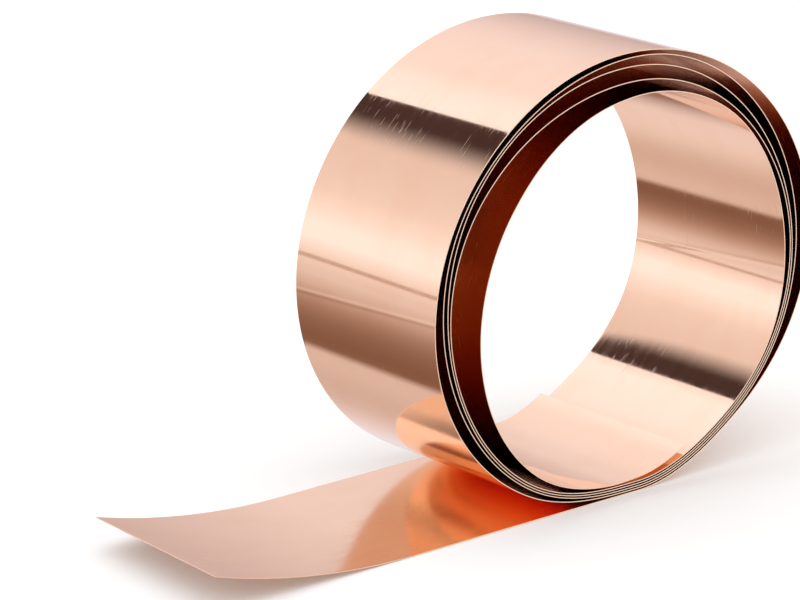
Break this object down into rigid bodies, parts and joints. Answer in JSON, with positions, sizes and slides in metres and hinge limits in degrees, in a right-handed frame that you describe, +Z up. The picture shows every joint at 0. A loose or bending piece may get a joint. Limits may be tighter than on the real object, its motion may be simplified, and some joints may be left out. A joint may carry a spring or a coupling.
{
  "type": "copper foil roll",
  "caption": "Loose roll of bare copper foil strip with an open eye, its inner end sprung up a little and its free tail run out flat along the table and curling up at the tip.",
  "frame": {"origin": "bottom centre of the bounding box at rest: half way along the whole length, half way across the strip's width, on the table the tail lies on", "axes": "+Z up; +X from the tail's tip towards the coil; Y along the coil's axis, across the strip's width"},
  "size_m": [0.148, 0.05, 0.0905],
  "materials": {
    "copper": "bright rolled copper, bare on both faces, mirror-like with a fine grain along the strip"
  },
  "bodies": {
    "outer_turn": {"outer_turn": "copper", "tail_root": "copper"},
    "second_turn": {"second_turn": "copper"},
    "third_turn": {"third_turn": "copper"},
    "fourth_turn": {"fourth_turn": "copper"},
    "inner_turn": {"inner_turn": "copper"},
    "inner_end": {"inner_end": "copper"},
    "tail_middle": {"tail_middle": "copper"},
    "tail_tip": {"tail_tip": "copper"}
  },
  "joints": [
    {"name": "second_turn_slide", "type": "slide", "parent": "outer_turn", "child": "second_turn", "axis": [0, 1, 0], "range_m": [-0.005, 0.005]},
    {"name": "third_turn_slide", "type": "slide", "parent": "second_turn", "child": "third_turn", "axis": [0, 1, 0], "range_m": [-0.005, 0.005]},
    {"name": "fourth_turn_slide", "type": "slide", "parent": "third_turn", "child": "fourth_turn", "axis": [0, 1, 0], "range_m": [-0.005, 0.005]},
    {"name": "inner_turn_slide", "type": "slide", "parent": "fourth_turn", "child": "inner_turn", "axis": [0, 1, 0], "range_m": [-0.005, 0.005]},
    {"name": "inner_end_hinge", "type": "hinge", "parent": "inner_turn", "child": "inner_end", "pos_m": [0.00884, 0, 0.00511], "axis": [0, -1, 0], "range_deg": [-1, 30], "stiffness_Nm_per_rad": 0.13},
    {"name": "tail_middle_hinge", "type": "hinge", "parent": "outer_turn", "child": "tail_middle", "pos_m": [-0.00734, 0, 0.0001], "axis": [0, 1, 0], "range_deg": [0, 35], "stiffness_Nm_per_rad": 0.12},
    {"name": "tail_tip_hinge", "type": "hinge", "parent": "tail_middle", "child": "tail_tip", "pos_m": [-0.04033, 0, 0.0006], "axis": [0, 1, 0], "range_deg": [-8, 30], "stiffness_Nm_per_rad": 0.12}
  ]
}
